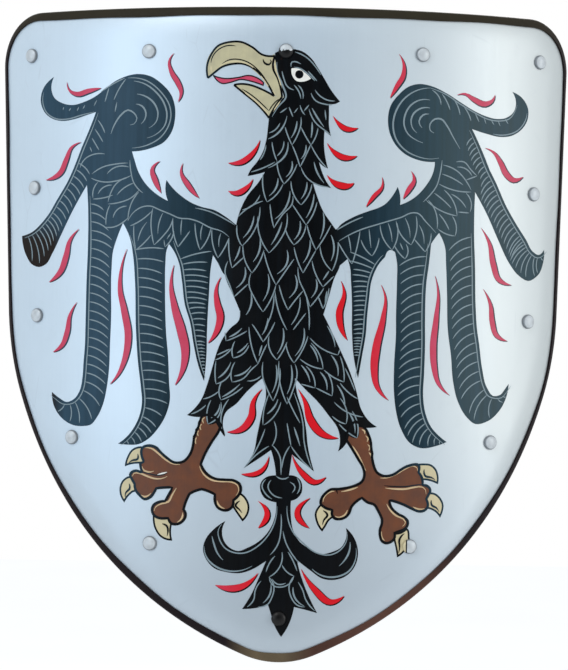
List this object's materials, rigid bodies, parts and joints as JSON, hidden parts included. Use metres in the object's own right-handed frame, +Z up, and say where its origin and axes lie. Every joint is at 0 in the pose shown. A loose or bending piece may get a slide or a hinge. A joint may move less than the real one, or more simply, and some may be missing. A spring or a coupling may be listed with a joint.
{
  "type": "heraldic shield",
  "caption": "Curved heater shield of painted steel, bound in leather, with riveted lining, buckled forearm strap, hand grip and arm pad on its back.",
  "frame": {"origin": "on the line of the forearm behind the shield, midway across, 55 mm behind the foremost line of the painted face and 30 mm above the shield's middle height", "axes": "+Z up to the straight top edge, -Y out of the painted face, +Y towards the bearer, +X to the right as seen from the front"},
  "size_m": [0.526, 0.1123, 0.591],
  "materials": {
    "field_paint": "semi-gloss pale silver-blue enamel with soft streaks and small scuffs",
    "figure_paint": "gloss black enamel with thin grey-blue linework, red and cream details",
    "binding_leather": "dark waxed leather, browner where it is rubbed",
    "lining_leather": "matt vegetable-tanned leather",
    "strap_leather": "waxed brown harness leather with burnished edges",
    "pad_leather": "soft tan leather over stuffing",
    "bare_steel": "plain darkened steel"
  },
  "bodies": {
    "shield": {"shield_plate": "field_paint", "edge_binding": "binding_leather", "back_lining": "lining_leather", "forearm_chape": "strap_leather", "forearm_billet": "strap_leather", "hand_grip": "strap_leather", "arm_pad": "pad_leather", "rim_rivet_01": "field_paint", "rim_rivet_02": "field_paint", "rim_rivet_03": "field_paint", "rim_rivet_04": "field_paint", "rim_rivet_05": "field_paint", "rim_rivet_06": "field_paint", "rim_rivet_07": "field_paint", "rim_rivet_08": "field_paint", "rim_rivet_09": "field_paint", "rim_rivet_10": "field_paint", "rim_rivet_11": "field_paint", "rim_rivet_12": "field_paint", "rim_rivet_13": "field_paint", "rim_rivet_14": "field_paint", "rim_burr_01": "bare_steel", "rim_burr_02": "bare_steel", "rim_burr_03": "bare_steel", "rim_burr_04": "bare_steel", "rim_burr_05": "bare_steel", "rim_burr_06": "bare_steel", "rim_burr_07": "bare_steel", "rim_burr_08": "bare_steel", "rim_burr_09": "bare_steel", "rim_burr_10": "bare_steel", "rim_burr_11": "bare_steel", "rim_burr_12": "bare_steel", "rim_burr_13": "bare_steel", "rim_burr_14": "bare_steel", "forearm_rivet_01": "bare_steel", "forearm_rivet_02": "bare_steel", "forearm_rivet_03": "bare_steel", "forearm_rivet_04": "bare_steel", "grip_rivet_01": "bare_steel", "grip_rivet_02": "bare_steel", "grip_rivet_03": "bare_steel", "grip_rivet_04": "bare_steel", "forearm_burr_01": "bare_steel", "forearm_burr_02": "bare_steel", "forearm_burr_03": "bare_steel", "forearm_burr_04": "bare_steel", "grip_burr_01": "bare_steel", "grip_burr_02": "bare_steel", "grip_burr_03": "bare_steel", "grip_burr_04": "bare_steel"},
    "frame": {"buckle_frame": "bare_steel"},
    "tongue": {"buckle_tongue": "bare_steel"},
    "keeper": {"strap_keeper": "strap_leather"}
  },
  "joints": [
    {"name": "buckle_frame_hinge", "type": "hinge", "parent": "shield", "child": "frame", "pos_m": [0.07045, 0.03517, 0], "axis": [0.9735, 0.2287, 0], "range_deg": [0, 8]},
    {"name": "buckle_tongue_hinge", "type": "hinge", "parent": "frame", "child": "tongue", "pos_m": [0.07045, 0.03517, 0], "axis": [0.9735, 0.2287, 0], "range_deg": [0, 8]},
    {"name": "keeper_slide", "type": "slide", "parent": "shield", "child": "keeper", "axis": [0, 0, 1], "range_m": [0, 0.016]}
  ]
}
